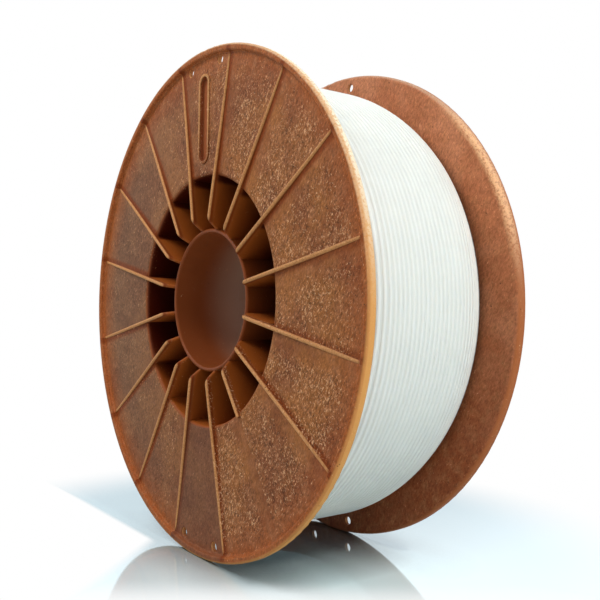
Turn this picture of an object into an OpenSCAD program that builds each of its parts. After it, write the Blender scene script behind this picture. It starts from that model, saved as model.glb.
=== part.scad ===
// Filament spool: two identical moulded halves, joined web to web on their middle plane,
// with one strand of filament wound on the drum between the flanges.
// Frame: +Z up, the spool's axis along Y, the front flange towards -Y, the origin on the
// axis at mid width. Each half is drawn with its axis along Z and its outer side up.

/* [Spool] */
// Diameter over the flanges
spool_d = 200; // [194:1:230]
// Width over the two rims
spool_w = 73; // [55:0.5:95]

/* [Flange] */
// Thickness of the flange plate
plate_t = 1.9; // [1.6:0.1:3]
// Height of the rim above the flange plate's outer face
lip_h = 1.9; // [1.6:0.1:4]
// Radial thickness of the rim
rim_t = 2.6; // [2:0.1:5]
// Radius of the rim's two outward edges
rim_round = 0.7; // [0.3:0.1:0.9]
// Radius of the rim's edge on the filament's side
rim_inner_round = 1.4; // [0.5:0.1:1.6]
// Radius of the fillet inside the rim
rim_fillet = 0.8; // [0.3:0.1:1.5]

/* [Hub] */
// Diameter of the bore
bore_d = 54; // [50:0.5:60]
// Wall of the bore tube
tube_t = 1.6; // [1.2:0.1:3]
// How far the bore tube ends below the rim
tube_recess = 4.6; // [3:0.1:10]
// Outer diameter of the drum that the filament is wound on
drum_d = 103; // [95:0.5:115]
// Wall of the drum
drum_t = 2; // [1.8:0.1:3]
// Thickness of each half's web at the middle plane
web_t = 2; // [1.5:0.1:4]
// Radius of the edge where the flange turns down into the drum
edge_round = 1.8; // [0.5:0.1:1.8]

/* [Ribs] */
// Number of radial ribs
rib_count = 16; // [12:2:20]
// Which rib is short and leaves room for a label, counted clockwise from the top
short_rib = 7; // [2:1:11]
// Thickness of a rib
rib_t = 1.6; // [1.2:0.1:2.4]
// Height of a rib above the flange plate where it turns down to the bore
rib_rise_hub = 1.7; // [1:0.1:1.8]
// Height of a rib above the flange plate at the rim
rib_rise_rim = 0.3; // [0.1:0.1:1]
// Distance from the bore tube to the knee where a rib turns down
knee_in = 5.5; // [3:0.1:8]
// Outside radius of the knee
knee_r = 4; // [2:0.1:6]
// Angle that the knee turns
knee_turn = 50; // [30:1:70]
// How far the short rib runs out over the flange plate
short_reach = 2.2; // [0.5:0.1:10]

/* [Gauge groove] */
// Width of the groove
groove_w = 6; // [4:0.1:9]
// Distance from the drum to the groove's inner end
groove_in = 4; // [3:0.1:10]
// Distance from the flange's edge to the groove's outer end
groove_out = 10; // [8:0.1:20]
// Depth of the groove below the flange plate's face
groove_depth = 1.3; // [0.3:0.1:1.3]
// Width of the raised border round the groove
border_w = 1; // [0.6:0.1:1.5]
// Height of the raised border
border_h = 0.5; // [0.2:0.1:1]

/* [Tail holes] */
// Diameter of the holes that hold the filament's loose end
tail_hole_d = 3.6; // [2:0.1:3.8]
// Distance from the flange's edge to the middle of a hole
tail_hole_in = 5; // [5:0.1:7]
// Distance between the two holes of a pair
tail_hole_pitch = 23; // [16:0.5:24]
// Width of the chamfer round a hole
tail_chamfer = 0.5; // [0.2:0.1:0.5]

/* [Stakes] */
// Diameter of the pins that join the halves
pin_d = 4.6; // [3:0.1:5]
// Clearance round a pin in its hole
pin_gap = 0.15; // [0.05:0.05:0.3]
// Diameter of a pin's staked head
head_d = 7.4; // [6:0.1:9]
// Height of a pin's staked head
head_h = 1.6; // [1:0.1:2.5]

/* [Filament] */
// Diameter of the filament
filament_d = 1.75; // [1.5:0.05:2]
// Diameter over the wound filament at mid width
wound_d = 179.6; // [160:0.2:182]
// How far the winding has slumped at the flanges, on the radius
slump = 6.6; // [1:0.1:7]
// Width of the slope down to each flange
slump_w = 18; // [14:0.5:24]
// Turns drawn in the outer layer
turn_count = 24; // [12:1:24]
// Clearance between the wound filament and what it lies on
seat_gap = 0.05; // [0.02:0.01:0.2]
// Clearance between the filament's ends and the flanges
end_gap = 0.2; // [0.1:0.05:0.3]
// Radius of the bend at each end of the outer layer
end_bend_r = 2.2; // [2:0.1:4]

/* [Hidden] */
$fn = 96;
eps = 0.01;
spool_colour = "#8b5638";
filament_colour = "#eef0ec";

// Radii
rim_r = spool_d / 2;
lip_r = rim_r - rim_t;
bore_r = bore_d / 2;
tube_r = bore_r + tube_t;
tube_mid_r = bore_r + tube_t / 2;
drum_r = drum_d / 2;
pocket_r = drum_r - drum_t;
drum_mid_r = drum_r - drum_t / 2;
groove_start = drum_r + groove_in;
groove_end = rim_r - groove_out;
tail_r = rim_r - tail_hole_in;
pin_circle_r = (tube_r + pocket_r) / 2;
pin_hole_d = pin_d + 2 * pin_gap;

// Heights in a half, from the middle plane outwards
rim_z = spool_w / 2;
face_z = rim_z - lip_h;
inner_z = face_z - plate_t;
plate_mid_z = inner_z + plate_t / 2;
tube_z = rim_z - tube_recess;

// Angles round the axis
rib_pitch = 360 / rib_count;
top_angle = 90;
tail_half_angle = asin(tail_hole_pitch / 2 / tail_r);
function rib_angle(i) = top_angle - rib_pitch * (i - 0.5);
function cell_angle(i) = top_angle - rib_pitch * i;

// Cells that hold a pin. The other half, turned round, brings its holes to them.
PIN_CELLS = [for (i = [1 : 2 : rib_count / 2 - 1]) i];

// A rib's ridge runs straight from the rim to its knee and then down to the bore tube.
// Points are [radius, height], and a rib's rounded edge is a bead along the ridge. The bead
// is a little fuller on the knee and laps its neighbours there, in degrees.
bead_r = rib_t / 2 - 0.05;
knee_bead_r = bead_r + 0.03;
knee_lap = 1;
knee = [tube_r + knee_in, face_z + rib_rise_hub];
ridge_tilt = atan((rib_rise_hub - rib_rise_rim) / (lip_r - knee[0]));
knee_centre = knee - knee_r * [sin(ridge_tilt), cos(ridge_tilt)];
bead_knee_r = knee_r - bead_r;
function on_knee(angle) = knee_centre + bead_knee_r * [cos(angle), sin(angle)];
knee_start = 90 - ridge_tilt;
knee_end = 90 + knee_turn;
ridge_in = on_knee(knee_start);
slope_top = on_knee(knee_end);
slope_run = (slope_top[0] - tube_mid_r) / cos(knee_turn);
slope_foot = slope_top - slope_run * [cos(knee_turn), sin(knee_turn)];
function on_ridge(radius) = [radius, ridge_in[1] - (radius - ridge_in[0]) * tan(ridge_tilt)];

// Wound filament
wire_r = filament_d / 2;
lay_r = wound_d / 2 - wire_r;
RING_STEPS = 24;
RING_SIDES = 6;
BEND_STEPS = 4;
core_half_w = inner_z - seat_gap;
end_y = inner_z - end_gap;
bend_y = end_y - filament_d;
lay_y = bend_y - end_bend_r;
lay_pitch = 2 * lay_y / turn_count;

// The winding is level at mid width, and slopes down more and more towards each flange,
// up to where the outer layer's ends bend over. Lay is the line of the strand's middle.
function slope_part(y) = max(0, min(abs(y), bend_y) - (inner_z - slump_w)) / slump_w;
function lay_at(y) = lay_r - slump * pow(slope_part(y), 2);
function lay_slope(y) = atan(2 * slump * slope_part(y) / slump_w);
bend_angle = end_bend_r / lay_at(bend_y) * 180 / PI;

// The layers under it: as high as they can go under the chords of its turns
SLOPE_STEPS = 5;
function core_at(y) = lay_at(y) * cos(180 / RING_STEPS) - (wire_r + seat_gap) / cos(lay_slope(y));
function core_point(side, y) = [core_at(y), side * y];

// The waste at a square corner at the origin that is rounded with radius r.
// It also serves as the fillet inside such a corner.
module corner(r) {
    difference() {
        square(r);
        translate([r, r])
            circle(r);
    }
}

// A radial slot outline in the top sector, from one radius to another
module slot_outline(from, to, width) {
    translate([-width / 2, from + width / 2])
        square([width, to - from - width]);
    for (radius = [from + width / 2, to - width / 2])
        translate([0, radius])
            circle(d = width);
}

module rim_section() {
    difference() {
        translate([lip_r, inner_z])
            square([rim_t, rim_z - inner_z]);
        translate([rim_r, rim_z])
            rotate(180)
                corner(rim_round);
        translate([lip_r, rim_z])
            rotate(-90)
                corner(rim_round);
        translate([rim_r, inner_z])
            rotate(90)
                corner(rim_inner_round);
    }
    translate([lip_r, face_z])
        rotate(90)
            corner(rim_fillet);
}

// Flange, drum, web and bore tube as one revolved wall
module half_section() {
    rim_section();
    difference() {
        union() {
            translate([pocket_r, inner_z])
                square([lip_r + rim_t / 2 - pocket_r, plate_t]);
            translate([pocket_r, 0])
                square([drum_t, face_z]);
        }
        translate([pocket_r, face_z])
            rotate(-90)
                corner(edge_round);
    }
    translate([bore_r, 0])
        square([drum_mid_r - bore_r, web_t]);
    translate([bore_r, 0])
        square([tube_t, tube_z - tube_t / 2]);
    translate([tube_mid_r, tube_z - tube_t / 2])
        circle(d = tube_t);
}

module bead(from, to) {
    run = to - from;
    translate([from[0], 0, from[1]])
        rotate([0, atan2(run[0], run[1]), 0])
            cylinder(r = bead_r, h = norm(run));
}

// One rib, out to a radius: a flat web with a round bead along its edge
module rib(reach) {
    ridge_out = on_ridge(reach);
    rotate([90, 0, 0])
        linear_extrude(rib_t, center = true)
            polygon(concat(
                [[tube_mid_r, web_t / 2], slope_foot],
                [for (i = [0 : 4]) on_knee(knee_end + (knee_start - knee_end) * i / 4)],
                [ridge_out, [ridge_out[0], plate_mid_z], [drum_mid_r, plate_mid_z]],
                [[drum_mid_r, web_t / 2]]
            ));
    bead(slope_foot, slope_top);
    bead(ridge_in, ridge_out);
    translate([knee_centre[0], 0, knee_centre[1]])
        rotate([90, 0, 0])
            rotate(knee_start - knee_lap)
                rotate_extrude(angle = knee_end - knee_start + 2 * knee_lap)
                    translate([bead_knee_r, 0])
                        circle(knee_bead_r);
}

// The short rib ends in a round post that stands on the flange plate
module short_end(reach) {
    tip = on_ridge(reach);
    translate([tip[0], 0, plate_mid_z])
        cylinder(r = bead_r, h = tip[1] - plate_mid_z);
    translate([tip[0], 0, tip[1]])
        sphere(bead_r);
}

module ribs() {
    for (i = [1 : rib_count])
        rotate(rib_angle(i))
            if (i == short_rib) {
                rib(pocket_r + short_reach);
                short_end(pocket_r + short_reach);
            } else {
                rib(lip_r + rim_t / 2);
            }
}

module groove_border() {
    translate([0, 0, plate_mid_z])
        linear_extrude(face_z + border_h - plate_mid_z)
            slot_outline(groove_start - border_w, groove_end + border_w, groove_w + 2 * border_w);
}

module groove() {
    translate([0, 0, face_z - groove_depth])
        linear_extrude(groove_depth + border_h + eps)
            slot_outline(groove_start, groove_end, groove_w);
}

// A pair of holes at the top and one at the bottom, chamfered on the outside. The mouth
// goes on up to the rim's height, so that it clears the fillet inside the rim.
module tail_holes() {
    hole_r = tail_hole_d / 2;
    mouth_r = hole_r + tail_chamfer;
    for (side = [top_angle, top_angle + 180], turn = [-1, 1])
        rotate(side + turn * tail_half_angle)
            translate([tail_r, 0, 0])
                rotate_extrude()
                    polygon([
                        [0, inner_z - eps],
                        [hole_r, inner_z - eps],
                        [hole_r, face_z - tail_chamfer],
                        [mouth_r, face_z],
                        [mouth_r, rim_z],
                        [0, rim_z]
                    ]);
}

// Pins reach through the other half's web and are staked over on its far side
module pins() {
    for (i = PIN_CELLS)
        rotate(cell_angle(i))
            translate([pin_circle_r, 0, 0])
                mirror([0, 0, 1]) {
                    translate([0, 0, -web_t / 2])
                        cylinder(d = pin_d, h = web_t * 1.5 + head_h / 2);
                    translate([0, 0, web_t])
                        cylinder(d1 = head_d, d2 = pin_d, h = head_h);
                }
}

module pin_holes() {
    for (i = PIN_CELLS)
        rotate(cell_angle(-i))
            translate([pin_circle_r, 0, -eps])
                cylinder(d = pin_hole_d, h = web_t + 2 * eps);
}

module half() {
    difference() {
        union() {
            rotate_extrude()
                half_section();
            ribs();
            groove_border();
        }
        groove();
        tail_holes();
        pin_holes();
    }
    pins();
}

module front_half() {
    color(spool_colour)
        rotate([90, 0, 0])
            half();
}

module rear_half() {
    color(spool_colour)
        rotate([0, 0, 180])
            rotate([90, 0, 0])
                half();
}

// The inner layers, as one plain crowned sleeve under the outer layer
module filament_core() {
    core_in_r = drum_r + seat_gap;
    slope_y = [for (i = [0 : SLOPE_STEPS])
        bend_y - slope_part(bend_y) * slump_w * i / SLOPE_STEPS];
    color(filament_colour)
        rotate([90, 0, 0])
            rotate_extrude()
                polygon(concat(
                    [[core_in_r, -core_half_w], core_point(-1, core_half_w)],
                    [for (y = slope_y) core_point(-1, y)],
                    [for (i = [SLOPE_STEPS : -1 : 0]) core_point(1, slope_y[i])],
                    [core_point(1, core_half_w), [core_in_r, core_half_w]]
                ));
}

// A point of the outer layer: its angle round the axis and its place along it
function lay_point(angle, y) = lay_at(y) * [cos(angle), 0, sin(angle)] + [0, y, 0];

// The strand's first end, from the flange to the first turn
LAY_START = concat(
    [lay_point(0, -end_y), lay_point(0, -bend_y)],
    [for (i = [1 : BEND_STEPS - 1])
        let (a = 90 * i / BEND_STEPS)
            lay_point(bend_angle * (1 - cos(a)), -bend_y + end_bend_r * sin(a))]
);

LAY_TURNS = [for (i = [0 : turn_count * RING_STEPS])
    let (turn = i / RING_STEPS)
        lay_point(bend_angle + 360 * turn, -lay_y + lay_pitch * turn)];

// The last end mirrors the first one, at the other flange
lay_last_angle = 2 * bend_angle + 360 * turn_count;
LAY_END = [for (i = [len(LAY_START) - 1 : -1 : 0])
    let (p = LAY_START[i])
        lay_point(lay_last_angle - atan2(p[2], p[0]), -p[1])];

LAY_PATH = concat(LAY_START, LAY_TURNS, LAY_END);
LAY_RINGS = len(LAY_PATH);

function unit(v) = v / norm(v);

// A ring of points round the strand at step i of its path
function ring(i) =
    let (
        before = LAY_PATH[max(i - 1, 0)],
        after = LAY_PATH[min(i + 1, LAY_RINGS - 1)],
        along = unit(after - before),
        out = unit([LAY_PATH[i][0], 0, LAY_PATH[i][2]]),
        side = unit(cross(along, out)),
        up = cross(side, along)
    )
    [for (j = [0 : RING_SIDES - 1])
        let (a = 360 * j / RING_SIDES)
            LAY_PATH[i] + wire_r * (cos(a) * up + sin(a) * side)];

function ring_index(i, j) = i * RING_SIDES + j % RING_SIDES;

function wall_faces() = [for (i = [0 : LAY_RINGS - 2], j = [0 : RING_SIDES - 1], half = [0, 1])
    half == 0
        ? [ring_index(i, j), ring_index(i, j + 1), ring_index(i + 1, j)]
        : [ring_index(i, j + 1), ring_index(i + 1, j + 1), ring_index(i + 1, j)]];

function cap_faces(i, flip) = [for (j = [1 : RING_SIDES - 2])
    flip
        ? [ring_index(i, 0), ring_index(i, j), ring_index(i, j + 1)]
        : [ring_index(i, 0), ring_index(i, j + 1), ring_index(i, j)]];

// Least distance between the surfaces of two turns, measured on the path's points
function least_turn_gap() = min([for (i = [0 : LAY_RINGS - 1])
    for (k = [RING_STEPS / 2 : RING_STEPS * 3 / 2])
        if (i + k < LAY_RINGS) norm(LAY_PATH[i + k] - LAY_PATH[i])]) - filament_d;

// The outer layer, as one unbroken strand
module filament_outer_layer() {
    echo(str("Least gap between turns: ", least_turn_gap(), " mm"));
    color(filament_colour)
        polyhedron(
            points = [for (i = [0 : LAY_RINGS - 1]) each ring(i)],
            faces = concat(wall_faces(), cap_faces(0, false), cap_faces(LAY_RINGS - 1, true))
        );
}

front_half();
rear_half();
filament_core();
filament_outer_layer();
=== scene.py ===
"""Filament spool: the finish of its two moulded halves, the strand wound on its drum, and a studio."""

import math
import random
from types import SimpleNamespace

import bmesh
import bpy
from mathutils import Euler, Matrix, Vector


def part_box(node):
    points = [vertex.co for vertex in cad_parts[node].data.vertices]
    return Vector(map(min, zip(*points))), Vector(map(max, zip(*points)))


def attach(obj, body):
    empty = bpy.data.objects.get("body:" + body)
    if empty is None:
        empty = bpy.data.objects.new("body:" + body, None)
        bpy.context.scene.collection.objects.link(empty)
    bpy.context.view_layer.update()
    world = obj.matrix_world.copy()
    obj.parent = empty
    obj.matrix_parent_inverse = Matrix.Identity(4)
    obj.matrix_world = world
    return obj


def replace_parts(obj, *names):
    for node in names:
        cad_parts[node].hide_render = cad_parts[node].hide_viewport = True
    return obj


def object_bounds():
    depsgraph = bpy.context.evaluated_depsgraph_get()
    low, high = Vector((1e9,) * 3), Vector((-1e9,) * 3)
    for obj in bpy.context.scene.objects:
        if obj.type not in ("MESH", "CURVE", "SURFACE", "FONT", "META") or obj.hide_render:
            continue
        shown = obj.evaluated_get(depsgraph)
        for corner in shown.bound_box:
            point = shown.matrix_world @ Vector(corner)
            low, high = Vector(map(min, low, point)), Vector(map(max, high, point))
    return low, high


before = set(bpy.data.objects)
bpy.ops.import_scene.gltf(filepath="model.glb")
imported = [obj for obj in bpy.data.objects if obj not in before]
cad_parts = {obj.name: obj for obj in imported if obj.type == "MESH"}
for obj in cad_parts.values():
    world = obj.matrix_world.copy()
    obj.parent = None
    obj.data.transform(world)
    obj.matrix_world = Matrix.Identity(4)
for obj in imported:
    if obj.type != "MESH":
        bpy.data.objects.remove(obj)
CAD_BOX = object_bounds()

bl_info = {
    "name": "Filament Spool",
    "version": (1, 0, 0),
    "blender": (4, 5, 0),
    "location": "3D View > Sidebar > Spool",
    "description": "Finishes a packed filament spool and winds its strand",
    "category": "Object",
}

MM = 0.001
BODY = "root"
FRONT_HALF = "front_half"
REAR_HALF = "rear_half"
INNER_NODE = "filament_core"
OUTER_NODE = "filament_outer_layer"

# Places read from the frame
INNER_LOW, INNER_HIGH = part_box(INNER_NODE)
OUTER_LOW, OUTER_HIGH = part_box(OUTER_NODE)
WOUND_RADIUS = (OUTER_HIGH.x - OUTER_LOW.x) / 2
HALF_GAP = (INNER_HIGH.y - INNER_LOW.y) / 2
FLOOR_Z = CAD_BOX[0].z
RIM_RADIUS = (CAD_BOX[1].x - CAD_BOX[0].x) / 2
RIM_Y = CAD_BOX[1].y

# The moulding's own sizes
LIP_HEIGHT = 1.9 * MM
FACE_Y = RIM_Y - LIP_HEIGHT
RIB_STEP = math.radians(22.5)
SHORT_RIB_ANGLE = -2.5 * RIB_STEP

# The outer layer. Its ends are on the left, where each dips 1.1 strands deep over a twelfth of a turn.
# A turn wanders sideways by a share of the free room between turns, and sinks a little.
END_ANGLE = math.radians(196)
DIP_RATE = 12
DIP_STRANDS = 1.1
WANDER_SHARE = 0.22
WANDER_SINK = 0.05 * MM
STEPS_PER_TURN = 128
STRAND_SIDES = 10

# The sleeve of turns below, which comes up between the outer turns and falls off at its shoulders
SLEEVE_SIDES = 96
RINGS_PER_TURN = 8
SLEEVE_RISE = 0.45 * MM
RIDGE_SHARE = 0.1
SHOULDER_CLEARANCE = 0.2 * MM
SHOULDER_DROP = 3.2 * MM
DRUM_CLEARANCE = 0.05 * MM

FLOOR_HALF_M = 6.0


def linear(code):
    """An sRGB hex colour as linear RGBA."""
    channels = [int(code[i:i + 2], 16) / 255 for i in (1, 3, 5)]
    return (*[c / 12.92 if c <= 0.04045 else ((c + 0.055) / 1.055) ** 2.4 for c in channels], 1.0)


def size_property(name, description, mm, low, high):
    """A length that a user can set, given in millimetres."""
    return bpy.props.FloatProperty(
        name=name, description=description, default=mm * MM, min=low * MM, max=high * MM,
        unit="LENGTH", precision=5)


def colour_property(name, description, code):
    """A colour that a user can set, given as sRGB hex."""
    return bpy.props.FloatVectorProperty(
        name=name, description=description, default=linear(code), size=4, min=0, max=1,
        subtype="COLOR")


def angle_property(name, description, degrees):
    """An angle that a user can set, given in degrees."""
    return bpy.props.FloatProperty(
        name=name, description=description, default=math.radians(degrees), subtype="ANGLE")


def power_property(name, description, watts):
    """A lamp's power that a user can set."""
    return bpy.props.FloatProperty(name=name, description=description, default=watts, min=0, unit="POWER")


# ------------------------------------------------------------------ settings

class SpoolFinish(bpy.types.PropertyGroup):
    """Colours of the moulded halves"""
    skin: colour_property("Skin", "The composite's plain brown", "#A66737")
    skin_shade: colour_property("Skin, darker clouds", "Its darker clouds", "#8A5030")
    skin_dull: colour_property("Skin, plain sector", "The smooth sector at the bottom", "#6B4838")
    rim_red: colour_property("Skin near the rim", "Redder skin where the melt ended", "#A05630")
    lip: colour_property("Raised lip", "The lip round the outer face", "#B0602C")
    inner: colour_property("Inner faces", "Smoother, brighter skin on the filament's side", "#C07E5A")
    # Painted shade: the inner faces darker low down
    inner_low_painted_shade: colour_property("Inner faces, low", "The inner faces low down", "#8A4220")
    inner_shade: colour_property("Inner faces, dark", "The darker clouds on the inner faces", "#B06C48")
    mottle: colour_property("Mottling", "Soft lighter spots in the skin", "#B4764E")
    # Painted shade and sheen: a dull grey cast on the left
    left_painted_shade_and_sheen: colour_property("Bloom", "The dull grey cast on the left", "#735A46")
    pocket: colour_property("Pocket walls", "The skin just inside the pockets and the bore", "#AC5A20")
    bore: colour_property("Bore", "The inside of the bore's tube", "#8E4924")
    # Painted light: the bore paler halfway along
    bore_middle_painted_light: colour_property("Bore, middle", "The bore's tube halfway along", "#BA927A")
    # Painted shade deep in the pockets
    deep: colour_property("Deep in the pockets", "The skin where little light gets to it", "#420901")
    # Painted shade on the flanks of the ribs and in a strip beside each rib
    rib_painted_shade: colour_property("Rib sides", "The flanks of the ribs above the face", "#82390F")
    # Partly rubbed and partly painted highlight on ridges, and a painted highlight on the sides of the tail
    # holes
    crest_wear_and_highlight: colour_property("Ridges", "Rubbed ridges of the ribs and borders", "#E3A468")
    front_edge: colour_property("Front rim's edge", "Rubbed edge of the front rim", "#DEA25C")
    rear_edge: colour_property("Rear rim's edge", "Rubbed edge of the rear rim", "#A9643A")
    # Painted highlight, patchy, on the rims' edges
    painted_edge_highlight: colour_property("Scuffs", "Where the edges are scuffed pale", "#FFF8DC")
    # Pale fibres, partly painted glints; the same colour paints a highlight on the rear rim's inner corner
    fibre: colour_property("Fibres", "Pale wood fibres in the skin", "#F0BC8C")
    pit: colour_property("Pits", "Small dark pits in the skin", "#3C1C0C")
    fibre_spacing: size_property("Fibre spacing", "From one wood fibre to the next", 0.6, 0.2, 4)


class SpoolWinding(bpy.types.PropertyGroup):
    """Sizes and colours of the wound filament"""
    strand: size_property("Strand diameter", "Diameter of the filament", 1.75, 1, 3)
    pitch: size_property("Turn spacing", "From one turn to the next along the drum", 2.07, 1.75, 4)
    drum: size_property("Drum diameter", "The drum under the winding", 103, 60, 150)
    level_half: size_property(
        "Level half width", "How far from mid width the turns stay level", 14.7, 0, 30)
    slump: size_property("Slump", "How far the outer turns sink towards the flanges", 6.6, 0, 12)
    side_gap: size_property("Gap at the flanges", "From the last turn's middle to the flange", 1.95, 0.9, 4)
    colour: colour_property("Filament", "The filament's own white", "#F0F5ED")
    # Painted shade in the grooves between turns
    between: colour_property("Between turns", "The filament seen in the grooves between turns", "#E9EEE6")
    # Painted shade in the gap by the flanges
    gap: colour_property("Gap by the flanges", "The deep gap at each end of the winding", "#3C3A40")
    seed: bpy.props.IntProperty(name="Seed", description="Picks how the turns wander", default=7, min=0)


class SpoolStudio(bpy.types.PropertyGroup):
    """The camera, the lamps and the floor's colours"""
    eye: bpy.props.FloatVectorProperty(
        name="Camera place", description="Where the camera stands",
        default=(267.195 * MM, -189.113 * MM, -2.211 * MM), subtype="TRANSLATION", unit="LENGTH")
    azimuth: angle_property(
        "Camera azimuth", "Turn of the view from looking along +Y towards -X", 55.0517)
    rise: angle_property("Camera rise", "How far the view tilts up from level", 2.5101)
    roll: angle_property("Camera roll", "Turn of the view about its own axis", 0.6071)
    lens: bpy.props.FloatProperty(
        name="Lens", description="Focal length on a 36 mm sensor", default=46.2568, min=10, max=300,
        unit="CAMERA")
    shift_x: bpy.props.FloatProperty(name="Shift across", description="Sideways lens shift", default=0.0528)
    shift_y: bpy.props.FloatProperty(name="Shift up", description="Upward lens shift", default=-0.0465)
    floor: colour_property("Floor", "The polished floor", "#D6F3FB")
    floor_bounce: colour_property("Floor's bounce", "The floor as it lights the spool", "#A2A399")
    floor_mirror: colour_property("Floor's mirror", "Cool tint of mirror images in the floor", "#D7ECF6")
    floor_lift: colour_property("Floor's lift", "What lifts the shadow towards the right", "#F3FFFF")
    sky: colour_property("Surroundings", "Soft light from all round", "#E6F0FF")
    sky_level: bpy.props.FloatProperty(
        name="Surroundings' level", description="Strength of the light from all round", default=0.31, min=0)
    key_power: power_property("Key lamp", "Power of the warm lamp at the upper right", 2.45)
    fill_power: power_property("Fill lamp", "Power of the soft lamp above the front left", 1.72)
    side_power: power_property("Side lamp", "Power of the soft lamp low at the right", 1.4)
    top_power: power_property("Top lamp", "Power of the soft lamp above the front right", 0.5)


# ------------------------------------------------------------------ materials

# Sockets of a Mix node that mixes colours: its weight, the colour under, the one over and the result
WEIGHT, UNDER, OVER, MIXED = 0, 6, 7, 2


def add_node(tree, kind, settings=None, inputs=None):
    """Adds a node. Settings are its own fields, by name. Inputs are values or output sockets, by the
    input's name or number."""
    node = tree.nodes.new(kind)
    for key, value in (settings or {}).items():
        setattr(node, key, value)
    for key, value in (inputs or {}).items():
        if isinstance(value, bpy.types.NodeSocket):
            tree.links.new(value, node.inputs[key])
        else:
            node.inputs[key].default_value = value
    return node


def new_material(name):
    """An empty node material, and its tree."""
    material = bpy.data.materials.new(name)
    material.use_nodes = True
    material.node_tree.nodes.clear()
    return material, material.node_tree


def moulding_measures(tree):
    """Where a point lies on the moulding: radius and angle about the spool's axis, height out from mid
    width, and depth below the outer face."""
    place = add_node(tree, "ShaderNodeTexCoord").outputs["Object"]
    x, y, z = add_node(tree, "ShaderNodeSeparateXYZ", None, {0: place}).outputs
    across = add_node(tree, "ShaderNodeCombineXYZ", None, {0: x, 2: z}).outputs[0]
    radius = add_node(tree, "ShaderNodeVectorMath", {"operation": "LENGTH"}, {0: across}).outputs["Value"]
    angle = add_node(tree, "ShaderNodeMath", {"operation": "ARCTAN2"}, {0: z, 1: x}).outputs[0]
    height = add_node(tree, "ShaderNodeMath", {"operation": "ABSOLUTE"}, {0: y}).outputs[0]
    depth = add_node(tree, "ShaderNodeMath", {"operation": "SUBTRACT"}, {0: FACE_Y, 1: height}).outputs[0]
    return SimpleNamespace(
        place=place, x=x, z=z, across=across, radius=radius, angle=angle, height=height, depth=depth)


def moulding_zones(tree, at, edge_highlight_share):
    """Weights for the places on the moulding that differ. Each row gives a zone, how it fades, the measure
    it goes by, where the fade starts and stops, and the weight at its start and its stop."""
    zones = {}
    for zone, fade, measure, start, stop, at_start, at_stop in (
        # The flange's two faces. The outer one has more fibres.
        ("outer_face", "LINEAR", at.height, 33 * MM, 34 * MM, 0.0, 1.0),
        ("inner_face", "LINEAR", at.height, 33 * MM, 34 * MM, 1.0, 0.0),
        ("more_outside", "LINEAR", at.height, 33 * MM, 34 * MM, 0.1, 1.0),
        # Towards the rim the skin is redder and clear of the painted shade and sheen on the left, with
        # fewer fibres, and then the lip rises
        ("redder", "SMOOTHSTEP", at.radius, 80 * MM, 97 * MM, 0.0, 0.64),
        ("clear", "SMOOTHSTEP", at.radius, 80 * MM, 97 * MM, 1.0, 0.04),
        ("fewer_at_rim", "SMOOTHSTEP", at.radius, 88 * MM, 96 * MM, 1.0, 0.35),
        ("lip", "SMOOTHSTEP", at.radius, 94 * MM, 96.5 * MM, 0.0, 0.62),
        ("inside_lip", "LINEAR", at.radius, 95 * MM, 97 * MM, 0.85, 0.0),
        # The left has painted shade and sheen, and fewer fibres and painted glints, and the inner faces
        # have painted shade low down
        ("left_painted_shade_and_sheen", "SMOOTHSTEP", at.x, -90 * MM, 30 * MM, 0.62, 0.0),
        ("fewer_at_left", "SMOOTHSTEP", at.x, -45 * MM, 25 * MM, 0.45, 1.0),
        ("low_down", "SMOOTHSTEP", at.z, -75 * MM, 35 * MM, 0.75, 0.0),
        # Ribs and borders stand proud of the outer face
        ("proud", "LINEAR", at.height, FACE_Y + 0.05 * MM, FACE_Y + 0.2 * MM, 0.0, 1.0),
        # The hub is all that lies inside the pockets' outer wall and below the outer face
        ("hub", "LINEAR", at.radius, 49.7 * MM, 50.3 * MM, 1.0, 0.0),
        ("below_face", "LINEAR", at.depth, -0.6 * MM, 1.2 * MM, 0.0, 1.0),
        ("bore_tube", "LINEAR", at.radius, 28.4 * MM, 28.9 * MM, 1.0, 0.0),
        ("mid_bore", "SMOOTHSTEP", at.depth, 14 * MM, 36 * MM, 0.0, 1.0),
        # Painted shade: the pockets' outer wall is as dark as 14 mm deeper, except in the lowest pockets,
        # which light from above reaches
        ("outer_wall", "LINEAR", at.radius, 46 * MM, 48 * MM, 0.0, 14 * MM),
        ("not_lowest", "LINEAR", at.z, -42 * MM, -20 * MM, 0.0, 1.0),
        # The rim's edge is rubbed, with a patchy painted highlight on the upper half. Its outer corner is
        # redder and has less of the painted highlight.
        ("edge", "SMOOTHSTEP", at.radius, RIM_RADIUS - 1.1 * MM, RIM_RADIUS - 0.3 * MM, 0.0, 0.9),
        ("corner", "SMOOTHSTEP", at.height, RIM_Y - 1.3 * MM, RIM_Y - 0.2 * MM, 0.0, 0.4),
        ("away_from_corner", "SMOOTHSTEP", at.height, RIM_Y - 2.6 * MM, RIM_Y - 0.6 * MM, 1.7, 0.3),
        ("upper_half", "SMOOTHSTEP", at.z, -10 * MM, 55 * MM, 0.0, 1.0),
        # A half with little painted highlight on its edge has a painted highlight on its inner corner
        # instead, at the right
        ("rounding", "SMOOTHSTEP", at.radius, RIM_RADIUS - 3.2 * MM, RIM_RADIUS - 1.0 * MM,
         0.0, 1.0 - edge_highlight_share),
        ("inner_corner", "SMOOTHSTEP", at.height, RIM_Y - 2.4 * MM, RIM_Y - 0.5 * MM, 1.0, 0.0),
    ):
        zones[zone] = add_node(tree, "ShaderNodeMapRange", {"interpolation_type": fade},
                               {"Value": measure, "From Min": start, "From Max": stop,
                                "To Min": at_start, "To Max": at_stop}).outputs[0]
    return SimpleNamespace(**zones)


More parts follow.
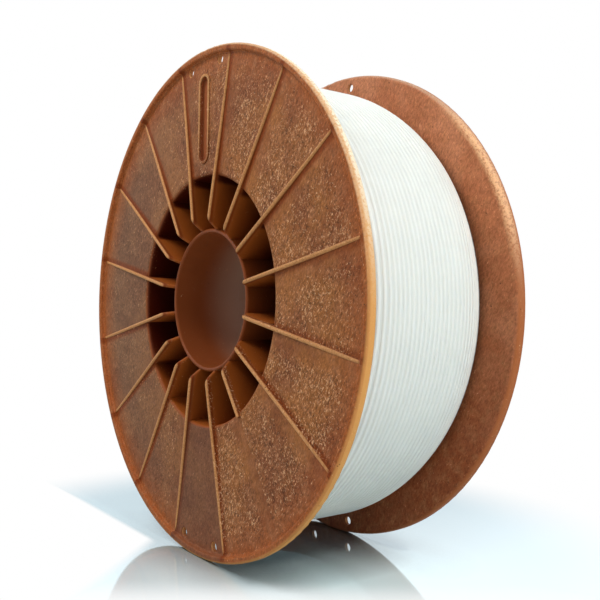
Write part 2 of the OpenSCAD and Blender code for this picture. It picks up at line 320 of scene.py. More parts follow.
def soft_patches(tree, at):
    """Patches of chance shape. Each row gives their kind, size, detail and roughness, how they fade, the
    noise at which the fade starts and stops, and their least and their most weight."""
    patches = {}
    for kind, size, detail, roughness, fade, start, stop, least, most in (
        ("clouds", 20 * MM, 3.0, 0.55, "SMOOTHSTEP", 0.36, 0.62, 0.0, 1.0),
        ("mottling", 4 * MM, 4.0, 0.6, "SMOOTHSTEP", 0.42, 0.75, 0.0, 0.6),
        ("more_fibres", 14 * MM, 2.0, 0.5, "LINEAR", 0.3, 0.65, 0.6, 1.0),
        ("scuffs", 1 * MM, 2.0, 0.75, "LINEAR", 0.4, 0.52, 0.3, 1.0),
    ):
        noise = add_node(tree, "ShaderNodeTexNoise", None,
                         {"Vector": at.place, "Scale": 1 / size, "Detail": detail,
                          "Roughness": roughness}).outputs[0]
        patches[kind] = add_node(tree, "ShaderNodeMapRange", {"interpolation_type": fade},
                                 {"Value": noise, "From Min": start, "From Max": stop,
                                  "To Min": least, "To Max": most}).outputs[0]
    return SimpleNamespace(**patches)


def rib_strips(tree, at):
    """Distance to the next rib anticlockwise, seen from the front, and a painted shadow strip about 2 mm
    wide beside each rib, on its right."""
    sector = add_node(tree, "ShaderNodeMath", {"operation": "MULTIPLY_ADD"},
                      {0: at.angle, 1: 1 / RIB_STEP, 2: -0.5}).outputs[0]
    sector = add_node(tree, "ShaderNodeMath", {"operation": "FRACT"}, {0: sector}).outputs[0]
    since_last = add_node(tree, "ShaderNodeMath", {"operation": "MULTIPLY"},
                          {0: sector, 1: RIB_STEP}).outputs[0]
    to_next = add_node(tree, "ShaderNodeMath", {"operation": "SUBTRACT"},
                       {0: RIB_STEP, 1: since_last}).outputs[0]
    upward = add_node(tree, "ShaderNodeVectorMath", {"operation": "NORMALIZE"},
                      {0: at.across}).outputs["Vector"]
    upward = add_node(tree, "ShaderNodeVectorMath", {"operation": "DOT_PRODUCT"},
                      {0: upward, 1: (0, 0, 4)}).outputs["Value"]
    gaps, strips = [], []
    for turn, sign in ((to_next, 1), (since_last, -1)):
        gaps.append(add_node(tree, "ShaderNodeMath", {"operation": "MULTIPLY"},
                             {0: turn, 1: at.radius}).outputs[0])
        near = add_node(tree, "ShaderNodeMapRange", {"interpolation_type": "SMOOTHSTEP"},
                        {"Value": gaps[-1], "From Min": 1.7 * MM, "From Max": 3.8 * MM,
                         "To Min": 0.9, "To Max": 0.0}).outputs[0]
        side = add_node(tree, "ShaderNodeMath", {"operation": "MULTIPLY", "use_clamp": True},
                        {0: upward, 1: sign}).outputs[0]
        strips.append(add_node(tree, "ShaderNodeMath", {"operation": "MULTIPLY"},
                               {0: near, 1: side}).outputs[0])
    strip = add_node(tree, "ShaderNodeMath", {"operation": "MAXIMUM"},
                     {0: strips[0], 1: strips[1]}).outputs[0]
    return gaps[0], strip


def plain_sectors(tree, at, zone):
    """The smooth sector at the bottom, and the outer face apart from the sector round the short rib."""
    bottom, short_rib = [
        add_node(tree, "ShaderNodeMath", {"operation": "COMPARE"},
                 {0: at.angle, 1: middle, 2: RIB_STEP / 2}).outputs[0]
        for middle in (-math.pi / 2, SHORT_RIB_ANGLE)]
    whole = add_node(tree, "ShaderNodeMath", {"operation": "SUBTRACT"},
                     {0: zone.outer_face, 1: short_rib}).outputs[0]
    return bottom, whole


def fibre_share(tree, zone, patch, gap, bottom):
    """Where fibres show, with their partly painted glints: few within 10 mm clockwise of a rib, near the
    rim, on the left, where less light grazes, on the inner faces and in the bottom sector."""
    clear_of_rib = add_node(tree, "ShaderNodeMapRange", {"interpolation_type": "SMOOTHSTEP"},
                            {"Value": gap, "From Min": 2 * MM, "From Max": 10 * MM}).outputs[0]
    not_bottom = add_node(tree, "ShaderNodeMath", {"operation": "MULTIPLY_ADD"},
                          {0: bottom, 1: -0.9, 2: 1.0}).outputs[0]
    share = patch.more_fibres
    for weight in (clear_of_rib, zone.fewer_at_rim, zone.fewer_at_left, zone.more_outside, not_bottom):
        share = add_node(tree, "ShaderNodeMath", {"operation": "MULTIPLY"},
                         {0: share, 1: weight}).outputs[0]
    return share


def fibres_and_grain(tree, s, at, share):
    """Two weaves of fibres about 0.4 mm wide and 1 mm long that lie two ways. Real ones are thinner than
    the picture can show. Their highest peaks are pale fibres, partly painted glints. The first weave is the
    skin's grain too, pale on its peaks and dark in its hollows, and the second makes the rubbing and
    painted highlight of ridges uneven."""
    weaves = []
    for turn, stretch in ((0.5, 2.2), (-0.8, 1.5)):
        lay = add_node(tree, "ShaderNodeMapping", {"vector_type": "TEXTURE"},
                       {"Vector": at.place, "Rotation": (0, turn, 0), "Scale": (1, 1, stretch)}).outputs[0]
        weaves.append(add_node(tree, "ShaderNodeTexNoise", None,
                               {"Vector": lay, "Scale": 1 / s.fibre_spacing, "Detail": 2.5,
                                "Roughness": 0.65, "Distortion": 0.6}).outputs[0])
    highest = add_node(tree, "ShaderNodeMath", {"operation": "MAXIMUM"},
                       {0: weaves[0], 1: weaves[1]}).outputs[0]
    level = add_node(tree, "ShaderNodeMath", {"operation": "MULTIPLY_ADD"},
                     {0: share, 1: -0.13, 2: 0.7}).outputs[0]
    over = add_node(tree, "ShaderNodeMath", {"operation": "SUBTRACT"}, {0: highest, 1: level}).outputs[0]
    fibres = add_node(tree, "ShaderNodeMapRange", {"interpolation_type": "SMOOTHSTEP"},
                      {"Value": over, "From Min": 0.0, "From Max": 0.1}).outputs[0]
    grain = add_node(tree, "ShaderNodeMapRange", None,
                     {"Value": weaves[0], "From Min": 0.3, "From Max": 0.7,
                      "To Min": -1.0, "To Max": 1.0}).outputs[0]
    strength = add_node(tree, "ShaderNodeMath", {"operation": "MULTIPLY_ADD"},
                        {0: share, 1: 0.42, 2: 0.32}).outputs[0]
    shade = add_node(tree, "ShaderNodeMath", {"operation": "MULTIPLY_ADD"},
                     {0: grain, 1: strength, 2: 1.0}).outputs[0]
    shade = add_node(tree, "ShaderNodeCombineColor", None, {0: shade, 1: shade, 2: shade}).outputs[0]
    uneven = add_node(tree, "ShaderNodeMapRange", None,
                      {"Value": weaves[1], "From Min": 0.38, "From Max": 0.55, "To Min": 0.65}).outputs[0]
    return fibres, grain, shade, uneven


def small_pits(tree, at, share):
    """Round pits about 0.5 mm across and a few millimetres apart, most where the fibres show."""
    cells = add_node(tree, "ShaderNodeTexVoronoi", None,
                     {"Vector": at.place, "Scale": 1 / (2 * MM), "Randomness": 1.0})
    lot = add_node(tree, "ShaderNodeSeparateColor", None, {0: cells.outputs["Color"]}).outputs[0]
    chance = add_node(tree, "ShaderNodeMath", {"operation": "MULTIPLY_ADD"},
                      {0: share, 1: 0.6, 2: 0.03}).outputs[0]
    drawn = add_node(tree, "ShaderNodeMath", {"operation": "LESS_THAN"}, {0: lot, 1: chance}).outputs[0]
    round_pit = add_node(tree, "ShaderNodeMapRange", {"interpolation_type": "SMOOTHSTEP"},
                         {"Value": cells.outputs["Distance"], "From Min": 0.06, "From Max": 0.16,
                          "To Min": 1.0, "To Max": 0.0}).outputs[0]
    return add_node(tree, "ShaderNodeMath", {"operation": "MULTIPLY"}, {0: round_pit, 1: drawn}).outputs[0]


def ridge_colour(tree, s, at, uneven):
    """Ridges are golden along their tops, unevenly, partly rubbed and partly a painted highlight, and their
    flanks are redder with painted shade. A rib's top falls from 1.7 mm above the face at its knee, 34 mm
    out, to 0.3 mm at the rim."""
    top = add_node(tree, "ShaderNodeMath", {"operation": "MULTIPLY_ADD"},
                   {0: at.radius, 1: -0.0221, 2: FACE_Y + 2.45 * MM}).outputs[0]
    under_top = add_node(tree, "ShaderNodeMath", {"operation": "SUBTRACT"},
                         {0: top, 1: at.height}).outputs[0]
    rubbed = add_node(tree, "ShaderNodeMapRange", {"interpolation_type": "SMOOTHSTEP"},
                      {"Value": under_top, "From Min": 0.25 * MM, "From Max": 0.95 * MM,
                       "To Min": 1.0, "To Max": 0.0}).outputs[0]
    rubbed = add_node(tree, "ShaderNodeMath", {"operation": "MULTIPLY"}, {0: rubbed, 1: uneven}).outputs[0]
    return add_node(tree, "ShaderNodeMix", {"data_type": "RGBA"},
                    {WEIGHT: rubbed, UNDER: s.rib_painted_shade, OVER: s.crest_wear_and_highlight}).outputs[MIXED]


def hub_colour(tree, s, at, zone):
    """Pockets orange-brown at the mouth, with painted shade that makes them darker and redder over about 20
    mm of depth, and a bore with painted light that makes it paler halfway along."""
    darker = add_node(tree, "ShaderNodeMath", {"operation": "MULTIPLY_ADD"},
                      {0: zone.outer_wall, 1: zone.not_lowest, 2: at.depth}).outputs[0]
    darker = add_node(tree, "ShaderNodeMapRange", {"interpolation_type": "SMOOTHSTEP"},
                      {"Value": darker, "From Min": -3 * MM, "From Max": 18.5 * MM,
                       "To Max": 0.97}).outputs[0]
    pocket, bore = [
        add_node(tree, "ShaderNodeMix", {"data_type": "RGBA"},
                 {WEIGHT: weight, UNDER: mouth, OVER: deep}).outputs[MIXED]
        for weight, mouth, deep in ((darker, s.pocket, s.deep), (zone.mid_bore, s.bore, s.bore_middle_painted_light))]
    return add_node(tree, "ShaderNodeMix", {"data_type": "RGBA"},
                    {WEIGHT: zone.bore_tube, UNDER: pocket, OVER: bore}).outputs[MIXED]


def edge_colour(tree, s, zone, patch, edge, edge_highlight_share):
    """The rim's rubbed edge, redder at its outer corner and with a patchy painted highlight on the upper
    half.
    """
    golden = add_node(tree, "ShaderNodeMix", {"data_type": "RGBA"},
                      {WEIGHT: zone.corner, UNDER: edge, OVER: s.rim_red}).outputs[MIXED]
    highlighted = add_node(tree, "ShaderNodeMath", {"operation": "MULTIPLY", "use_clamp": True},
                       {0: patch.scuffs, 1: zone.away_from_corner}).outputs[0]
    for weight in (zone.upper_half, edge_highlight_share):
        highlighted = add_node(tree, "ShaderNodeMath", {"operation": "MULTIPLY"},
                           {0: highlighted, 1: weight}).outputs[0]
    return add_node(tree, "ShaderNodeMix", {"data_type": "RGBA"},
                    {WEIGHT: highlighted, UNDER: golden, OVER: s.painted_edge_highlight}).outputs[MIXED]


def right_hand_side(tree, at):
    """Weight of the painted highlight on the rim's right-hand side, fullest 0.5 radians above the level of
    the axis.
    """
    off = add_node(tree, "ShaderNodeMath", {"operation": "SUBTRACT"}, {0: at.angle, 1: 0.5}).outputs[0]
    off = add_node(tree, "ShaderNodeMath", {"operation": "ABSOLUTE"}, {0: off}).outputs[0]
    return add_node(tree, "ShaderNodeMapRange", {"interpolation_type": "SMOOTHSTEP"},
                    {"Value": off, "From Min": 0.12, "From Max": 0.46,
                     "To Min": 1.2, "To Max": 0.0}).outputs[0]


def moulding_relief(tree, at, fibres, pits, grain, share):
    """Relief in millimetres: fibres stand proud, pits are sunk, and the skin waves slightly. Edges look
    rounded by 0.45 mm."""
    wave = add_node(tree, "ShaderNodeTexNoise", None,
                    {"Vector": at.place, "Scale": 1 / (7 * MM), "Detail": 2.0}).outputs[0]
    relief = add_node(tree, "ShaderNodeMath", {"operation": "MULTIPLY"}, {0: wave, 1: 0.12}).outputs[0]
    coarse = add_node(tree, "ShaderNodeMath", {"operation": "MULTIPLY"}, {0: grain, 1: share}).outputs[0]
    for pattern, rise in ((fibres, 0.06), (pits, -0.2), (coarse, 0.05), (grain, 0.012)):
        relief = add_node(tree, "ShaderNodeMath", {"operation": "MULTIPLY_ADD"},
                          {0: pattern, 1: rise, 2: relief}).outputs[0]
    rounded = add_node(tree, "ShaderNodeBevel", {"samples": 4}, {"Radius": 0.45 * MM}).outputs[0]
    return add_node(tree, "ShaderNodeBump", None,
                    {"Height": relief, "Distance": MM, "Strength": 1.0, "Normal": rounded}).outputs[0]


def wood_fibre_composite_moulded(s, name, edge, edge_highlight_share):
    """Wood-fibre composite, injection moulded. The eye sees a satin brown skin in soft clouds, redder
    where the melt ended at the rim, with pale fibres and small pits in it, ridges rubbed golden, and a
    faint warm glow through thin edges. Over this lie painted light and shade: partly painted glints on the
    fibres, painted highlights on ridge tops, rim edges and tail holes, painted shadows beside the ribs,
    painted shade deep in the pockets, low on the inner faces and with a sheen on the left, and painted
    light halfway along the bore."""
    material, tree = new_material(name)
    at = moulding_measures(tree)
    zone = moulding_zones(tree, at, edge_highlight_share)
    patch = soft_patches(tree, at)
    gap, strip = rib_strips(tree, at)
    bottom, whole = plain_sectors(tree, at, zone)
    share = fibre_share(tree, zone, patch, gap, bottom)
    fibres, grain, grain_shade, uneven = fibres_and_grain(tree, s, at, share)
    pits = small_pits(tree, at, share)
    # The gauge groove's floor is redder, and the sides of the tail holes get a painted golden highlight
    groove = add_node(tree, "ShaderNodeMath", {"operation": "COMPARE"},
                      {0: at.height, 1: FACE_Y - 1.0 * MM, 2: 0.75 * MM}).outputs[0]
    tail_holes = add_node(tree, "ShaderNodeMath", {"operation": "COMPARE"},
                          {0: at.radius, 1: 95 * MM, 2: 1.9 * MM}).outputs[0]
    # The inner faces, with painted shade low down
    inner = s.inner_shade
    for weight, colour in ((patch.clouds, s.inner), (zone.low_down, s.inner_low_painted_shade)):
        inner = add_node(tree, "ShaderNodeMix", {"data_type": "RGBA"},
                         {WEIGHT: weight, UNDER: inner, OVER: colour}).outputs[MIXED]

    # The layers of colour, from the darker clouds up. Each has its weights, which are multiplied
    # together, and its colour. The grain's shade multiplies the colours under it.
    skin = s.skin_shade
    for blend, weights, colour in (
        ("MIX", (patch.clouds,), s.skin),
        ("MIX", (zone.redder,), s.rim_red),
        ("MIX", (zone.lip,), s.lip),
        ("MIX", (zone.inner_face,), inner),
        ("MIX", (patch.mottling,), s.mottle),
        # painted shade and sheen on the left
        ("MIX", (zone.left_painted_shade_and_sheen, zone.outer_face, zone.clear), s.left_painted_shade_and_sheen),
        # painted shadow beside the ribs
        ("MIX", (strip, whole), s.rib_painted_shade),
        ("MIX", (bottom, whole, 0.5), s.skin_dull),
        ("MULTIPLY", (1.0,), grain_shade),
        # ridges: golden tops, partly rubbed and partly painted highlight, over flanks in painted shade
        ("MIX", (zone.proud, zone.inside_lip), ridge_colour(tree, s, at, uneven)),
        ("MIX", (groove, zone.inside_lip), s.rim_red),
        # painted highlight on the sides of the tail holes
        ("MIX", (tail_holes, groove, zone.inside_lip), s.crest_wear_and_highlight),
        # painted shade deep in the pockets and painted light along the bore
        ("MIX", (zone.hub, zone.below_face), hub_colour(tree, s, at, zone)),
        ("MIX", (zone.edge,), edge_colour(tree, s, zone, patch, edge, edge_highlight_share)),
        # painted highlight on the rear rim's inner corner, at the right
        ("MIX", (zone.rounding, right_hand_side(tree, at), zone.inner_corner, patch.scuffs), s.fibre),
        # pale fibres, partly painted glints
        ("MIX", (fibres,), s.fibre),
        ("MIX", (pits,), s.pit),
    ):
        weight = weights[0]
        for other in weights[1:]:
            weight = add_node(tree, "ShaderNodeMath", {"operation": "MULTIPLY"},
                              {0: weight, 1: other}).outputs[0]
        skin = add_node(tree, "ShaderNodeMix", {"data_type": "RGBA", "blend_type": blend},
                        {WEIGHT: weight, UNDER: skin, OVER: colour}).outputs[MIXED]

    # Clouds and fibres are a little glossier than the rest, and the bore's tube is the glossiest
    roughness = 0.56
    for pattern, change in ((patch.clouds, -0.08), (fibres, -0.12), (zone.bore_tube, -0.2)):
        roughness = add_node(tree, "ShaderNodeMath", {"operation": "MULTIPLY_ADD"},
                             {0: pattern, 1: change, 2: roughness}).outputs[0]
    shader = add_node(tree, "ShaderNodeBsdfPrincipled", None,
                      {"Base Color": skin, "Roughness": roughness, "IOR": 1.5, "Specular IOR Level": 0.12,
                       "Normal": moulding_relief(tree, at, fibres, pits, grain, share),
                       "Subsurface Weight": 0.06, "Subsurface Scale": 2 * MM,
                       "Subsurface Radius": (1.0, 0.4, 0.15)}).outputs[0]
    add_node(tree, "ShaderNodeOutputMaterial", None, {"Surface": shader})
    return material


def white_pla_extruded(s, name, colour):
    """White PLA, drawn from the melt. The eye sees a smooth, slightly translucent strand with a soft
    gloss."""
    material, tree = new_material(name)
    place = add_node(tree, "ShaderNodeTexCoord").outputs["Object"]
    # Soft changes in shade and gloss, about 12 mm across, from handling
    cloud = add_node(tree, "ShaderNodeTexNoise", None,
                     {"Vector": place, "Scale": 1 / (12 * MM), "Detail": 3.0}).outputs[0]
    shade, roughness = [
        add_node(tree, "ShaderNodeMapRange", None,
                 {"Value": cloud, "From Min": 0.3, "From Max": 0.7,
                  "To Min": low, "To Max": high}).outputs[0]
        for low, high in ((0.965, 1.0), (0.36, 0.46))]
    shade = add_node(tree, "ShaderNodeCombineColor", None, {0: shade, 1: shade, 2: shade}).outputs[0]
    base = add_node(tree, "ShaderNodeMix", {"data_type": "RGBA", "blend_type": "MULTIPLY"},
                    {WEIGHT: 1.0, UNDER: colour, OVER: shade}).outputs[MIXED]
    # Painted shade: the gap between the last turns and a flange is deep, and little light comes back out of
    # it
    y = add_node(tree, "ShaderNodeSeparateXYZ", None, {0: place}).outputs[1]
    gap_painted_shade = add_node(tree, "ShaderNodeMath", {"operation": "ABSOLUTE"}, {0: y}).outputs[0]
    gap_painted_shade = add_node(tree, "ShaderNodeMapRange", None,
                      {"Value": gap_painted_shade, "From Min": HALF_GAP - 2.7 * MM,
                       "From Max": HALF_GAP - 2.2 * MM}).outputs[0]
    base = add_node(tree, "ShaderNodeMix", {"data_type": "RGBA"},
                    {WEIGHT: gap_painted_shade, UNDER: base, OVER: s.gap}).outputs[MIXED]
    # A faint unevenness 0.8 mm across and 0.01 mm high, from the nozzle
    fine = add_node(tree, "ShaderNodeTexNoise", None,
                    {"Vector": place, "Scale": 1 / (0.8 * MM), "Detail": 1.0}).outputs[0]
    surface = add_node(tree, "ShaderNodeBump", None,
                       {"Height": fine, "Distance": 0.01 * MM, "Strength": 1.0}).outputs[0]
    shader = add_node(tree, "ShaderNodeBsdfPrincipled", None,
                      {"Base Color": base, "Roughness": roughness, "IOR": 1.46, "Normal": surface,
                       "Subsurface Weight": 0.6, "Subsurface Scale": 1.5 * MM,
                       "Subsurface Radius": (1.0, 0.9, 0.8)}).outputs[0]
    add_node(tree, "ShaderNodeOutputMaterial", None, {"Surface": shader})
    return material


def floor_zones(tree):
    """Where the floor is plain white to the eye, and how much weaker its shadow is towards the right."""
    place = add_node(tree, "ShaderNodeTexCoord").outputs["Object"]
    x, y, _ = add_node(tree, "ShaderNodeSeparateXYZ", None, {0: place}).outputs
    across = add_node(tree, "ShaderNodeCombineXYZ", None, {0: x, 1: y}).outputs[0]
    away = add_node(tree, "ShaderNodeVectorMath", {"operation": "LENGTH"}, {0: across}).outputs["Value"]
    front_right, front_left = [
        add_node(tree, "ShaderNodeVectorMath", {"operation": "DOT_PRODUCT"},
                 {0: place, 1: direction}).outputs["Value"]
        for direction in ((0.82, -0.58, 0), (-0.756, -0.658, 0))]
    far, right, left, before_rim, weaker = [
        add_node(tree, "ShaderNodeMapRange", {"interpolation_type": "SMOOTHSTEP"},
                 {"Value": measure, "From Min": start, "From Max": stop, "To Max": most}).outputs[0]
        for measure, start, stop, most in (
            (away, 100 * MM, 165 * MM, 1.0),         # white all round
            (front_right, 47 * MM, 77 * MM, 1.0),    # white sooner in front of the winding
            (front_left, 43 * MM, 51 * MM, 1.0),     # white at once in front of the flange
            (y, -39.5 * MM, -43 * MM, 1.0),          # only before the front rim
            (x, -50 * MM, 70 * MM, 0.5),             # weaker shadow towards the right
        )]
    # The shadow on the left ends sharply in line with the front rim
    left = add_node(tree, "ShaderNodeMath", {"operation": "MULTIPLY"}, {0: left, 1: before_rim}).outputs[0]
    for side in (right, left):
        far = add_node(tree, "ShaderNodeMath", {"operation": "MAXIMUM"}, {0: far, 1: side}).outputs[0]
    return far, weaker


def white_acrylic_polished(s):
    """White acrylic sheet, polished. The eye sees a bright floor with soft mirror images close to what
    stands on it. It is plain white farther off."""
    material, tree = new_material("white_acrylic_polished")
    far, weaker = floor_zones(tree)
    seen = add_node(tree, "ShaderNodeLightPath").outputs["Is Camera Ray"]
    base = add_node(tree, "ShaderNodeMix", {"data_type": "RGBA"},
                    {WEIGHT: seen, UNDER: s.floor_bounce, OVER: s.floor}).outputs[MIXED]
    weaker = add_node(tree, "ShaderNodeMath", {"operation": "MULTIPLY"}, {0: weaker, 1: seen}).outputs[0]
    lift = add_node(tree, "ShaderNodeMix", {"data_type": "RGBA"},
                    {WEIGHT: weaker, UNDER: (0, 0, 0, 1), OVER: s.floor_lift}).outputs[MIXED]
    # Painted shade: close under the spool the floor goes dark
    shade = add_node(tree, "ShaderNodeAmbientOcclusion", {"samples": 8},
                     {"Color": (1, 1, 1, 1), "Distance": 26 * MM}).outputs["Color"]
    shade = add_node(tree, "ShaderNodeGamma", None, {"Color": shade, "Gamma": 1.25}).outputs[0]
    base, lift = [
        add_node(tree, "ShaderNodeMix", {"data_type": "RGBA", "blend_type": "MULTIPLY"},
                 {WEIGHT: 1.0, UNDER: colour, OVER: shade}).outputs[MIXED]
        for colour in (base, lift)]
    lift = add_node(tree, "ShaderNodeBsdfDiffuse", None, {"Color": lift}).outputs[0]
    polished = add_node(tree, "ShaderNodeBsdfPrincipled", None,
                        {"Base Color": base, "Roughness": 0.07, "IOR": 1.6,
                         "Specular IOR Level": 1.0}).outputs[0]
    mirror = add_node(tree, "ShaderNodeBsdfAnisotropic", None,
                      {"Color": s.floor_mirror, "Roughness": 0.05}).outputs[0]
    polished = add_node(tree, "ShaderNodeMixShader", None, {0: 0.38, 1: polished, 2: mirror}).outputs[0]
    polished = add_node(tree, "ShaderNodeAddShader", None, {0: polished, 1: lift}).outputs[0]
    white = add_node(tree, "ShaderNodeEmission", None,
                     {"Color": (1, 1, 1, 1), "Strength": 1.0}).outputs[0]
    hidden = add_node(tree, "ShaderNodeMath", {"operation": "MULTIPLY"}, {0: far, 1: seen}).outputs[0]
    surface = add_node(tree, "ShaderNodeMixShader", None,
                       {0: hidden, 1: polished, 2: white}).outputs[0]
    add_node(tree, "ShaderNodeOutputMaterial", None, {"Surface": surface})
    return material


# ------------------------------------------------------------------ pieces

def add_piece(name, vertices, faces, material):
    """A smooth closed piece on the spool's body."""
    mesh = bpy.data.meshes.new(name)
    mesh.from_pydata(vertices, [], faces)
    work = bmesh.new()
    work.from_mesh(mesh)
    bmesh.ops.recalc_face_normals(work, faces=work.faces)
    work.to_mesh(mesh)
    work.free()
    mesh.polygons.foreach_set("use_smooth", [True] * len(mesh.polygons))
    mesh.materials.append(material)
    piece = bpy.data.objects.new(name, mesh)
    bpy.context.scene.collection.objects.link(piece)
    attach(piece, BODY)
    return piece


def strand_mesh(path, radius, sides):
    """A closed tube along a path that runs round the Y axis."""
    vertices, faces = [], []
    last = len(path) - 1
    for i, point in enumerate(path):
        along = (path[min(i + 1, last)] - path[max(i - 1, 0)]).normalized()
        out = Vector((point.x, 0, point.z)).normalized()
        side = along.cross(out).normalized()
        up = side.cross(along)
        for j in range(sides):
            turn = math.tau * j / sides
            vertices.append(point + radius * (math.cos(turn) * up + math.sin(turn) * side))
    for i in range(last):
        for j in range(sides):
            k = (j + 1) % sides
            faces.append((i * sides + j, i * sides + k, (i + 1) * sides + k, (i + 1) * sides + j))
    faces.append(tuple(reversed(range(sides))))
    faces.append(tuple(last * sides + j for j in range(sides)))
    return vertices, faces


def lay_radius(s, y):
    """Radius of the outer layer's centre line at a place along the drum."""
    part = max(0.0, min(abs(y), HALF_GAP - s.side_gap) - s.level_half) / (HALF_GAP - s.level_half)
    return WOUND_RADIUS - s.strand / 2 - s.slump * part ** 2


def outer_turns_path(s, steps):
    """The outer layer's centre line: a helix over the crowned winding, whose turns wander a little and
    whose ends dip into the layer below."""
    rng = random.Random(s.seed)
    half = HALF_GAP - s.side_gap
    turns = 2 * half / s.pitch
    reach = WANDER_SHARE * (s.pitch - s.strand)
    shifts = [rng.uniform(-reach, reach) for _ in range(int(turns) + 2)]
    rises = [rng.uniform(-WANDER_SINK, 0.0) for _ in shifts]
    path = []
    for i in range(int(turns * steps) + 1):
        turn = i / steps
        k = int(turn)
        ease = 0.5 - 0.5 * math.cos(math.pi * (turn - k))
        edge = min(turn, turns - turn)
        calm = min(1.0, edge)
        y = -half + turn * s.pitch + calm * (shifts[k] + (shifts[k + 1] - shifts[k]) * ease)
        radius = lay_radius(s, y) + calm * (rises[k] + (rises[k + 1] - rises[k]) * ease)
        radius -= DIP_STRANDS * s.strand * max(0.0, 1 - DIP_RATE * edge) ** 2
        angle = END_ANGLE + math.tau * turn
        path.append(Vector((radius * math.cos(angle), y, radius * math.sin(angle))))
    return path


def inner_turns_mesh(s, around, per_turn):
    """The layers below as a sleeve, ridged by the turns under the outer layer, which run the other way."""
    rows = int(2 * HALF_GAP / s.pitch * per_turn)
    slope = s.side_gap - SHOULDER_CLEARANCE
    rings = []
    for j in range(rows + 1):
        y = -HALF_GAP + 2 * HALF_GAP * j / rows
        shoulder = max(0.0, abs(y) - (HALF_GAP - slope)) / slope
        sink = SHOULDER_DROP * (1 - math.sqrt(max(0.0, 1 - shoulder ** 2)))
        rings.append((y, lay_radius(s, y) + SLEEVE_RISE - sink, s.strand / 2))
    for y in (HALF_GAP, -HALF_GAP):
        rings.append((y, s.drum / 2 + DRUM_CLEARANCE, 0.0))
    vertices, faces = [], []
    for y, base, ridge in rings:
        for i in range(around):
            turn = i / around
            off = ((y / s.pitch + turn) % 1 - 0.5) * s.pitch
            radius = base + RIDGE_SHARE * math.sqrt(max(0.0, ridge ** 2 - off ** 2))
            vertices.append((radius * math.cos(math.tau * turn), y, radius * math.sin(math.tau * turn)))
    for j in range(len(rings)):
        k = (j + 1) % len(rings)
        for i in range(around):
            n = (i + 1) % around
            faces.append((j * around + i, k * around + i, k * around + n, j * around + n))
    return vertices, faces


# ------------------------------------------------------------------ studio

def lay_floor(s):
    """A square floor under the spool's rims."""
    mesh = bpy.data.meshes.new("floor")
    corners = [(x * FLOOR_HALF_M, y * FLOOR_HALF_M, FLOOR_Z)
               for x, y in ((-1, -1), (1, -1), (1, 1), (-1, 1))]
    mesh.from_pydata(corners, [], [(0, 1, 2, 3)])
    mesh.materials.append(white_acrylic_polished(s))
    floor = bpy.data.objects.new("floor", mesh)
    bpy.context.scene.collection.objects.link(floor)


def light_surroundings(s):
    """White to the eye and in reflections, and a pale cool sky to everything else."""
    world = bpy.data.worlds.new("studio")
    bpy.context.scene.world = world
    world.use_nodes = True
    tree = world.node_tree
    tree.nodes.clear()
    rays = add_node(tree, "ShaderNodeLightPath").outputs
    seen = rays["Is Camera Ray"]
    for kind in ("Is Glossy Ray", "Is Transmission Ray"):
        seen = add_node(tree, "ShaderNodeMath", {"operation": "MAXIMUM"},
                        {0: seen, 1: rays[kind]}).outputs[0]
    sky, white = [
        add_node(tree, "ShaderNodeBackground", None, {"Color": colour, "Strength": strength}).outputs[0]
        for colour, strength in ((s.sky, s.sky_level), ((1, 1, 1, 1), 1.0))]
    both = add_node(tree, "ShaderNodeMixShader", None, {0: seen, 1: sky, 2: white}).outputs[0]
    add_node(tree, "ShaderNodeOutputWorld", None, {"Surface": both})


def hang_lamps(s):
    """Square soft lamps that face the spool. Each row gives a lamp's place and width in metres, its power
    and colour, and if mirror images show it. Two would show as white squares in the floor."""
    for name, place, size, power, code, mirrored in (
        ("key_lamp", (0.63, -0.03, 0.48), 0.09, s.key_power, "#FFF8F0", True),
        ("side_lamp", (0.75, 0.02, 0.12), 0.4, s.side_power, "#F6F9FF", False),
        ("fill_lamp", (-0.13, -0.36, 0.48), 0.25, s.fill_power, "#FFFFFF", True),
        ("top_lamp", (0.45, -0.5, 0.5), 0.35, s.top_power, "#FFF2E2", False),
    ):
        data = bpy.data.lights.new(name, "AREA")
        data.size = size
        data.energy = power
        data.color = linear(code)[:3]
        lamp = bpy.data.objects.new(name, data)
        lamp.location = place
        lamp.rotation_euler = (-Vector(place)).to_track_quat("-Z", "Y").to_euler()
        lamp.visible_glossy = mirrored
        bpy.context.scene.collection.objects.link(lamp)


def set_camera(s):
    """The camera, aimed by azimuth and rise and then rolled."""
    data = bpy.data.cameras.new("camera")
    data.lens = s.lens
    data.sensor_width = 36
    data.shift_x = s.shift_x
    data.shift_y = s.shift_y
    data.clip_start = 0.01
    camera = bpy.data.objects.new("camera", data)
    camera.location = s.eye
    aim = Euler((math.pi / 2 + s.rise, 0, s.azimuth)).to_matrix()
    camera.rotation_euler = (aim @ Euler((0, 0, s.roll)).to_matrix()).to_euler()
    bpy.context.scene.collection.objects.link(camera)
    bpy.context.scene.camera = camera


# ------------------------------------------------------------------ operators

class SPOOL_OT_halves(bpy.types.Operator):
    """Gives the two moulded halves their finish"""
    bl_idname = "spool.halves"
    bl_label = "Moulded Halves"

    def execute(self, context):
        s = context.scene.spool_finish
        for name, edge, edge_highlight_share in ((FRONT_HALF, s.front_edge, 1.0), (REAR_HALF, s.rear_edge, 0.25)):
            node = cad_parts[name]
            node.data.materials.clear()
            node.data.materials.append(
                wood_fibre_composite_moulded(s, name + "_wood_fibre_composite_moulded", edge, edge_highlight_share))
        return {"FINISHED"}


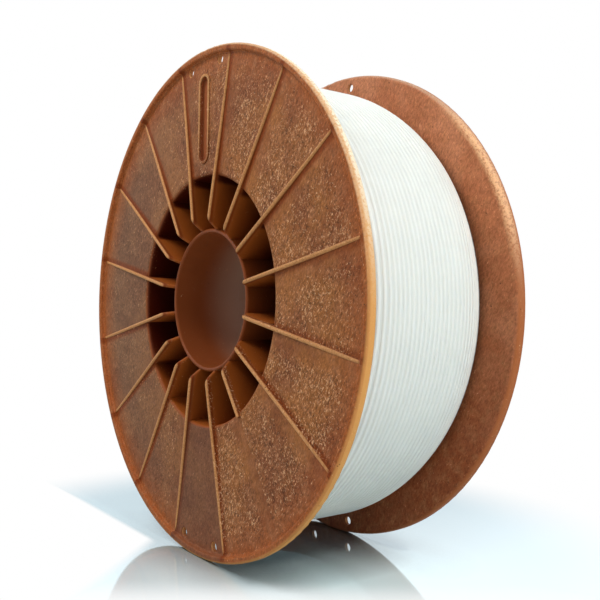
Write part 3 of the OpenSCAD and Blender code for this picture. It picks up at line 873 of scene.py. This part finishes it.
class SPOOL_OT_winding(bpy.types.Operator):
    """Winds the strand on the drum"""
    bl_idname = "spool.winding"
    bl_label = "Wound Filament"

    def execute(self, context):
        s = context.scene.spool_winding
        outer = white_pla_extruded(s, "filament_white_pla_extruded", s.colour)
        # The grooves between the turns get a painted shade
        inner = white_pla_extruded(s, "filament_grooves_white_pla_extruded", s.between)
        vertices, faces = strand_mesh(outer_turns_path(s, STEPS_PER_TURN), s.strand / 2, STRAND_SIDES)
        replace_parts(add_piece("filament_outer_turns", vertices, faces, outer), OUTER_NODE)
        vertices, faces = inner_turns_mesh(s, SLEEVE_SIDES, RINGS_PER_TURN)
        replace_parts(add_piece("filament_inner_turns", vertices, faces, inner), INNER_NODE)
        return {"FINISHED"}


class SPOOL_OT_stage(bpy.types.Operator):
    """Sets the floor, the lights and the camera"""
    bl_idname = "spool.stage"
    bl_label = "Studio"

    def execute(self, context):
        s = context.scene.spool_studio
        lay_floor(s)
        light_surroundings(s)
        hang_lamps(s)
        set_camera(s)
        context.scene.view_settings.view_transform = "Standard"
        return {"FINISHED"}


GROUPS = {"spool_finish": SpoolFinish, "spool_winding": SpoolWinding, "spool_studio": SpoolStudio}
OPERATORS = (SPOOL_OT_stage, SPOOL_OT_halves, SPOOL_OT_winding)


class SPOOL_PT_panel(bpy.types.Panel):
    """The spool's steps and settings"""
    bl_label = "Filament Spool"
    bl_space_type = "VIEW_3D"
    bl_region_type = "UI"
    bl_category = "Spool"

    def draw(self, context):
        for operator in OPERATORS:
            self.layout.operator(operator.bl_idname)
        for name, group in GROUPS.items():
            box = self.layout.box()
            for key in group.__annotations__:
                box.prop(getattr(context.scene, name), key)


def register():
    """Adds the classes, and the settings to the scene."""
    for cls in (*GROUPS.values(), *OPERATORS, SPOOL_PT_panel):
        bpy.utils.register_class(cls)
    for name, group in GROUPS.items():
        setattr(bpy.types.Scene, name, bpy.props.PointerProperty(type=group))


def unregister():
    """Takes the settings and the classes away again."""
    for name in GROUPS:
        delattr(bpy.types.Scene, name)
    for cls in (SPOOL_PT_panel, *OPERATORS, *GROUPS.values()):
        bpy.utils.unregister_class(cls)


def main():
    """Makes the whole scene."""
    register()
    bpy.ops.spool.stage()
    bpy.ops.spool.halves()
    bpy.ops.spool.winding()


if __name__ == "__main__":
    main()
